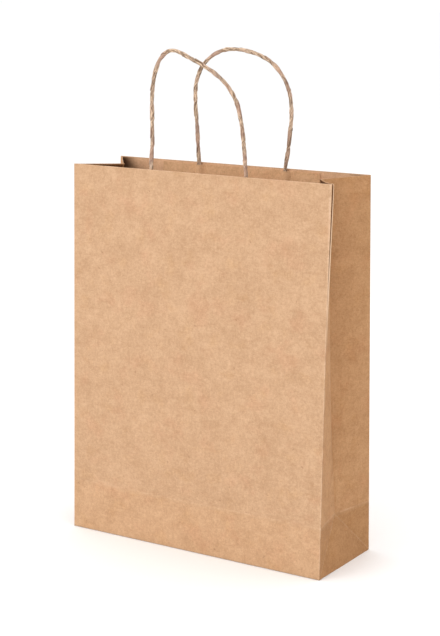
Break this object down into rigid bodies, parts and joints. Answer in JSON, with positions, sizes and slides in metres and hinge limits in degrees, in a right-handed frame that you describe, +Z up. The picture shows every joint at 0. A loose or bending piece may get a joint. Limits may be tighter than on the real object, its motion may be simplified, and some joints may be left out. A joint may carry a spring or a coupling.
{
  "type": "paper carrier bag",
  "caption": "Open-topped block-bottom paper carrier bag with inward-folding side gussets and a pair of twisted-cord loop handles.",
  "frame": {"origin": "centre of the footprint, on the plane that the bottom rests on", "axes": "+Z up, the front face looks along -Y, +X to the right seen from the front"},
  "size_m": [0.2398, 0.0874, 0.4067],
  "materials": {
    "kraft_face": "plain uncoated brown kraft paper, matte",
    "kraft_gusset": "plain uncoated brown kraft paper, matte",
    "patch_paper": "glued kraft paper strip, matte",
    "cord": "twisted kraft paper cord, matte"
  },
  "bodies": {
    "base": {"bottom_rear_flap": "kraft_gusset", "bottom_front_flap": "kraft_gusset", "bottom_left_flap": "kraft_gusset", "bottom_right_flap": "kraft_gusset"},
    "front_wall": {"front_panel": "kraft_face", "front_base_strip": "kraft_face", "front_top_hem": "kraft_face", "front_handle_patch": "patch_paper", "front_cord_cover": "patch_paper", "front_cord_ends": "cord", "side_seam_tab": "kraft_gusset"},
    "rear_wall": {"rear_panel": "kraft_face", "rear_base_strip": "kraft_face", "rear_top_hem": "kraft_face", "rear_handle_patch": "patch_paper", "rear_cord_cover": "patch_paper", "rear_cord_ends": "cord"},
    "right_foot": {"right_foot_triangle": "kraft_gusset"},
    "left_foot": {"left_foot_triangle": "kraft_gusset"},
    "front_handle": {"front_handle_loop": "cord"},
    "rear_handle": {"rear_handle_loop": "cord"},
    "right_front_lower": {"right_front_gusset_corner": "kraft_gusset", "right_front_gusset_side": "kraft_gusset"},
    "right_front_upper": {"right_front_gusset_fold": "kraft_gusset", "right_front_gusset_hem": "kraft_gusset"},
    "right_rear_lower": {"right_rear_gusset_corner": "kraft_gusset", "right_rear_gusset_side": "kraft_gusset"},
    "right_rear_upper": {"right_rear_gusset_fold": "kraft_gusset", "right_rear_gusset_hem": "kraft_gusset"},
    "left_front_lower": {"left_front_gusset_corner": "kraft_gusset", "left_front_gusset_side": "kraft_gusset"},
    "left_front_upper": {"left_front_gusset_fold": "kraft_gusset", "left_front_gusset_hem": "kraft_gusset"},
    "left_rear_lower": {"left_rear_gusset_corner": "kraft_gusset", "left_rear_gusset_side": "kraft_gusset"},
    "left_rear_upper": {"left_rear_gusset_fold": "kraft_gusset", "left_rear_gusset_hem": "kraft_gusset"}
  },
  "joints": [
    {"name": "mouth_squeeze", "type": "hinge", "parent": "base", "child": "front_wall", "pos_m": [0, -0.042, 0], "axis": [-1, 0, 0], "range_deg": [0, 3.3], "stiffness_Nm_per_rad": 1},
    {"name": "rear_wall_tilt", "type": "hinge", "parent": "base", "child": "rear_wall", "pos_m": [0, 0.042, 0], "axis": [1, 0, 0], "range_deg": [0, 3.3]},
    {"name": "right_foot_fold", "type": "hinge", "parent": "base", "child": "right_foot", "pos_m": [0.12, 0, 0], "axis": [0, -1, 0], "range_deg": [0, 10.1]},
    {"name": "right_front_corner_fold", "type": "hinge", "parent": "front_wall", "child": "right_front_lower", "pos_m": [0.12, -0.042, 0], "axis": [0, 0.0297, 0.9996], "range_deg": [0, 10.1]},
    {"name": "right_front_diagonal_fold", "type": "hinge", "parent": "right_front_lower", "child": "right_front_upper", "pos_m": [0.12, -0.0328, 0.30986], "axis": [0.0372, -0.1209, 0.992], "range_deg": [0, 21.5]},
    {"name": "right_rear_corner_fold", "type": "hinge", "parent": "rear_wall", "child": "right_rear_lower", "pos_m": [0.12, 0.042, 0], "axis": [0, 0.0297, -0.9996], "range_deg": [0, 10.1]},
    {"name": "right_rear_diagonal_fold", "type": "hinge", "parent": "right_rear_lower", "child": "right_rear_upper", "pos_m": [0.12, 0.0328, 0.30986], "axis": [-0.0372, -0.1209, -0.992], "range_deg": [0, 21.5]},
    {"name": "left_foot_fold", "type": "hinge", "parent": "base", "child": "left_foot", "pos_m": [-0.12, 0, 0], "axis": [0, 1, 0], "range_deg": [0, 10.1]},
    {"name": "left_front_corner_fold", "type": "hinge", "parent": "front_wall", "child": "left_front_lower", "pos_m": [-0.12, -0.042, 0], "axis": [0, -0.0297, -0.9996], "range_deg": [0, 10.1]},
    {"name": "left_front_diagonal_fold", "type": "hinge", "parent": "left_front_lower", "child": "left_front_upper", "pos_m": [-0.12, -0.0328, 0.30986], "axis": [0.0372, 0.1209, -0.992], "range_deg": [0, 21.5]},
    {"name": "left_rear_corner_fold", "type": "hinge", "parent": "rear_wall", "child": "left_rear_lower", "pos_m": [-0.12, 0.042, 0], "axis": [0, -0.0297, 0.9996], "range_deg": [0, 10.1]},
    {"name": "left_rear_diagonal_fold", "type": "hinge", "parent": "left_rear_lower", "child": "left_rear_upper", "pos_m": [-0.12, 0.0328, 0.30986], "axis": [-0.0372, 0.1209, 0.992], "range_deg": [0, 21.5]},
    {"name": "front_handle_swing", "type": "hinge", "parent": "front_wall", "child": "front_handle", "pos_m": [0, -0.03255, 0.30986], "axis": [1, 0, 0], "range_deg": [-10, 82]},
    {"name": "rear_handle_swing", "type": "hinge", "parent": "rear_wall", "child": "rear_handle", "pos_m": [0, 0.03255, 0.30986], "axis": [-1, 0, 0], "range_deg": [-5, 87]}
  ],
  "couplings": [
    {"joint": "rear_wall_tilt", "follows": "mouth_squeeze", "ratio": 1},
    {"joint": "right_foot_fold", "follows": "mouth_squeeze", "ratio": 3.05},
    {"joint": "right_front_corner_fold", "follows": "mouth_squeeze", "ratio": 3.05},
    {"joint": "right_front_diagonal_fold", "follows": "mouth_squeeze", "ratio": 6.5},
    {"joint": "right_rear_corner_fold", "follows": "mouth_squeeze", "ratio": 3.05},
    {"joint": "right_rear_diagonal_fold", "follows": "mouth_squeeze", "ratio": 6.5},
    {"joint": "left_foot_fold", "follows": "mouth_squeeze", "ratio": 3.05},
    {"joint": "left_front_corner_fold", "follows": "mouth_squeeze", "ratio": 3.05},
    {"joint": "left_front_diagonal_fold", "follows": "mouth_squeeze", "ratio": 6.5},
    {"joint": "left_rear_corner_fold", "follows": "mouth_squeeze", "ratio": 3.05},
    {"joint": "left_rear_diagonal_fold", "follows": "mouth_squeeze", "ratio": 6.5}
  ]
}
